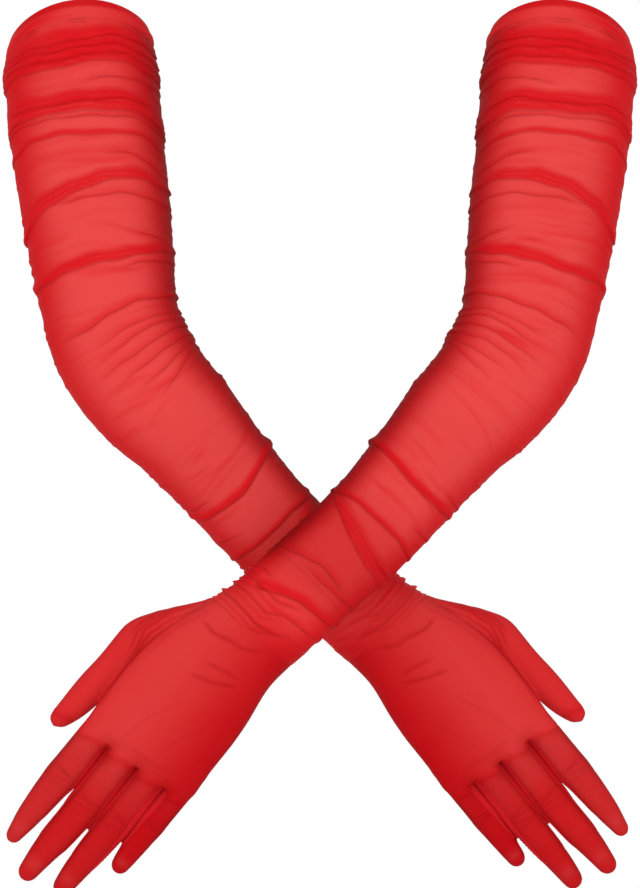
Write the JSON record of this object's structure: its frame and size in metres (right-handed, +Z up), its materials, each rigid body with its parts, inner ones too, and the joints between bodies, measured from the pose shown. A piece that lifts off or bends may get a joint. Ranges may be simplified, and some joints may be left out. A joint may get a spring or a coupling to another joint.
{
  "type": "opera gloves",
  "caption": "Pair of long sheer mesh opera gloves in worn shape, sleeves crossed, with hem band, ruched sleeve, thumb, fingers and fourchettes.",
  "frame": {"origin": "midway between the centres of the two arm openings", "axes": "+X across the pair towards the left glove's arm opening, +Y from the backs of the hands to the palms, +Z up along the arms"},
  "size_m": [0.3486, 0.1281, 0.4866],
  "materials": {
    "sheer_mesh": "sheer stretch mesh, single layer, soft sheen",
    "gathered_mesh": "sheer stretch mesh pushed into stacked folds, deeper red",
    "hem_fabric": "doubled stretch mesh hem, nearly opaque",
    "fourchette_fabric": "side strips of the fingers with stitched seams"
  },
  "bodies": {
    "right_upper_arm": {"right_hem_band": "hem_fabric", "right_upper_arm_back_panel": "sheer_mesh", "right_upper_arm_under_panel": "sheer_mesh", "right_elbow_section": "gathered_mesh"},
    "right_forearm": {"right_forearm_back_panel": "sheer_mesh", "right_forearm_under_panel": "sheer_mesh", "right_wrist_section": "gathered_mesh"},
    "right_hand": {"right_hand_back_panel": "sheer_mesh", "right_hand_palm_panel": "sheer_mesh"},
    "right_thumb": {"right_thumb_back_panel": "sheer_mesh", "right_thumb_palm_panel": "sheer_mesh"},
    "right_index": {"right_index_back_panel": "sheer_mesh", "right_index_palm_panel": "sheer_mesh", "right_index_inner_fourchette": "fourchette_fabric"},
    "right_middle": {"right_middle_back_panel": "sheer_mesh", "right_middle_palm_panel": "sheer_mesh", "right_middle_outer_fourchette": "fourchette_fabric", "right_middle_inner_fourchette": "fourchette_fabric"},
    "right_ring": {"right_ring_back_panel": "sheer_mesh", "right_ring_palm_panel": "sheer_mesh", "right_ring_outer_fourchette": "fourchette_fabric", "right_ring_inner_fourchette": "fourchette_fabric"},
    "right_little": {"right_little_back_panel": "sheer_mesh", "right_little_palm_panel": "sheer_mesh", "right_little_outer_fourchette": "fourchette_fabric"},
    "left_upper_arm": {"left_hem_band": "hem_fabric", "left_upper_arm_back_panel": "sheer_mesh", "left_upper_arm_under_panel": "sheer_mesh", "left_elbow_section": "gathered_mesh"},
    "left_forearm": {"left_forearm_back_panel": "sheer_mesh", "left_forearm_under_panel": "sheer_mesh", "left_wrist_section": "gathered_mesh"},
    "left_hand": {"left_hand_back_panel": "sheer_mesh", "left_hand_palm_panel": "sheer_mesh"},
    "left_thumb": {"left_thumb_back_panel": "sheer_mesh", "left_thumb_palm_panel": "sheer_mesh"},
    "left_index": {"left_index_back_panel": "sheer_mesh", "left_index_palm_panel": "sheer_mesh", "left_index_inner_fourchette": "fourchette_fabric"},
    "left_middle": {"left_middle_back_panel": "sheer_mesh", "left_middle_palm_panel": "sheer_mesh", "left_middle_outer_fourchette": "fourchette_fabric", "left_middle_inner_fourchette": "fourchette_fabric"},
    "left_ring": {"left_ring_back_panel": "sheer_mesh", "left_ring_palm_panel": "sheer_mesh", "left_ring_outer_fourchette": "fourchette_fabric", "left_ring_inner_fourchette": "fourchette_fabric"},
    "left_little": {"left_little_back_panel": "sheer_mesh", "left_little_palm_panel": "sheer_mesh", "left_little_outer_fourchette": "fourchette_fabric"}
  },
  "joints": [
    {"name": "right_elbow_bend", "type": "hinge", "parent": "right_upper_arm", "child": "right_forearm", "pos_m": [-0.11312, -0.03906, -0.17665], "axis": [0, -1, 0], "range_deg": [-38, 5], "deforming": ["right_elbow_section"]},
    {"name": "right_wrist_bend", "type": "hinge", "parent": "right_forearm", "child": "right_hand", "pos_m": [0.02877, -0.00551, -0.31904], "axis": [0.7396, 0, 0.673], "range_deg": [-50, 55], "deforming": ["right_wrist_section"]},
    {"name": "right_thumb_spread", "type": "hinge", "parent": "right_hand", "child": "right_thumb", "pos_m": [0.09021, 0.00056, -0.31728], "axis": [0, -1, 0], "range_deg": [0, 35]},
    {"name": "right_index_bend", "type": "hinge", "parent": "right_hand", "child": "right_index", "pos_m": [0.1195, 0.00171, -0.37855], "axis": [0.7934, 0, 0.6088], "range_deg": [0, 85]},
    {"name": "right_middle_bend", "type": "hinge", "parent": "right_hand", "child": "right_middle", "pos_m": [0.10434, 0.00214, -0.39017], "axis": [0.7934, 0, 0.6088], "range_deg": [0, 85]},
    {"name": "right_ring_bend", "type": "hinge", "parent": "right_hand", "child": "right_ring", "pos_m": [0.08919, 0.00171, -0.4018], "axis": [0.7934, 0, 0.6088], "range_deg": [0, 85]},
    {"name": "right_little_bend", "type": "hinge", "parent": "right_hand", "child": "right_little", "pos_m": [0.07543, 0.00065, -0.41236], "axis": [0.7934, 0, 0.6088], "range_deg": [0, 85]},
    {"name": "left_elbow_bend", "type": "hinge", "parent": "left_upper_arm", "child": "left_forearm", "pos_m": [0.11312, -0.03906, -0.17665], "axis": [0, 1, 0], "range_deg": [-38, 5], "deforming": ["left_elbow_section"]},
    {"name": "left_wrist_bend", "type": "hinge", "parent": "left_forearm", "child": "left_hand", "pos_m": [-0.02877, -0.07261, -0.31904], "axis": [0.7396, 0, -0.673], "range_deg": [-50, 55], "deforming": ["left_wrist_section"]},
    {"name": "left_thumb_spread", "type": "hinge", "parent": "left_hand", "child": "left_thumb", "pos_m": [-0.09021, -0.06654, -0.31728], "axis": [0, 1, 0], "range_deg": [0, 35]},
    {"name": "left_index_bend", "type": "hinge", "parent": "left_hand", "child": "left_index", "pos_m": [-0.1195, -0.06538, -0.37855], "axis": [0.7934, 0, -0.6088], "range_deg": [0, 85]},
    {"name": "left_middle_bend", "type": "hinge", "parent": "left_hand", "child": "left_middle", "pos_m": [-0.10434, -0.06496, -0.39017], "axis": [0.7934, 0, -0.6088], "range_deg": [0, 85]},
    {"name": "left_ring_bend", "type": "hinge", "parent": "left_hand", "child": "left_ring", "pos_m": [-0.08919, -0.06538, -0.4018], "axis": [0.7934, 0, -0.6088], "range_deg": [0, 85]},
    {"name": "left_little_bend", "type": "hinge", "parent": "left_hand", "child": "left_little", "pos_m": [-0.07543, -0.06645, -0.41236], "axis": [0.7934, 0, -0.6088], "range_deg": [0, 85]},
    {"name": "left_glove_lift", "type": "slide", "parent": "right_upper_arm", "child": "left_upper_arm", "axis": [0, -1, 0], "range_m": [0, 0.2]}
  ]
}
